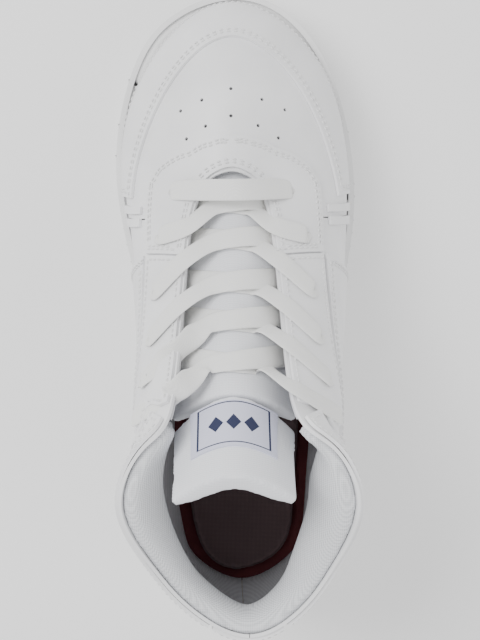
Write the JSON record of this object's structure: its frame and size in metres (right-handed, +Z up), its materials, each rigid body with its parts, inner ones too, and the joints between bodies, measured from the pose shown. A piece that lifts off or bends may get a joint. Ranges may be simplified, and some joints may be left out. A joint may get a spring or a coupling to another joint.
{
  "type": "basketball high top shoe",
  "caption": "Padded high-top sneaker for the right foot, with a rubber cupsole, layered upper, flat lace and folding tongue top.",
  "frame": {"origin": "centre of the bounding box on the ground the sole stands on", "axes": "+Z up, +Y to the toe, +X to the lateral side"},
  "size_m": [0.1152, 0.2933, 0.17],
  "materials": {
    "leather": "smooth",
    "rubber": "matte",
    "thread": "woven",
    "foam": "matte",
    "steel": "satin",
    "board": "matte",
    "insole_textile": "woven",
    "lining_textile": "mesh",
    "label_textile": "woven",
    "lace_textile": "woven",
    "tip_plastic": "gloss"
  },
  "bodies": {
    "shoe": {"collar_lining": "lining_textile", "collar_padding": "foam", "collar_panel_lateral": "leather", "collar_panel_medial": "leather", "eyestay_backing_lateral": "board", "eyestay_backing_medial": "board", "eyestay_front": "leather", "eyestay_lateral": "leather", "eyestay_lining_lateral": "lining_textile", "eyestay_lining_medial": "lining_textile", "eyestay_medial": "leather", "heel_counter": "board", "heel_panel": "leather", "heel_tab": "leather", "insole": "insole_textile", "insole_board": "board", "lace": "lace_textile", "lace_tips": "tip_plastic", "midsole_foam": "foam", "mudguard": "leather", "outsole": "rubber", "quarter_lateral": "leather", "quarter_lining_lateral": "lining_textile", "quarter_lining_medial": "lining_textile", "quarter_medial": "leather", "quarter_overlay_lateral": "leather", "quarter_overlay_medial": "leather", "shank": "steel", "side_strips_lateral": "leather", "side_strips_medial": "leather", "sidewall": "rubber", "sole_stitching": "thread", "toe_puff": "board", "tongue_cover": "leather", "tongue_lining": "lining_textile", "tongue_padding": "foam", "vamp": "leather", "vamp_lining": "lining_textile"},
    "tongue_top": {"tongue_label": "label_textile", "tongue_top_cover": "leather", "tongue_top_lining": "lining_textile", "tongue_top_padding": "foam"}
  },
  "joints": [
    {"name": "tongue_fold", "type": "hinge", "parent": "shoe", "child": "tongue_top", "pos_m": [-0.0015, -0.0261, 0.1376], "axis": [1, 0, 0], "range_deg": [-20, 8], "stiffness_Nm_per_rad": 0.15}
  ]
}
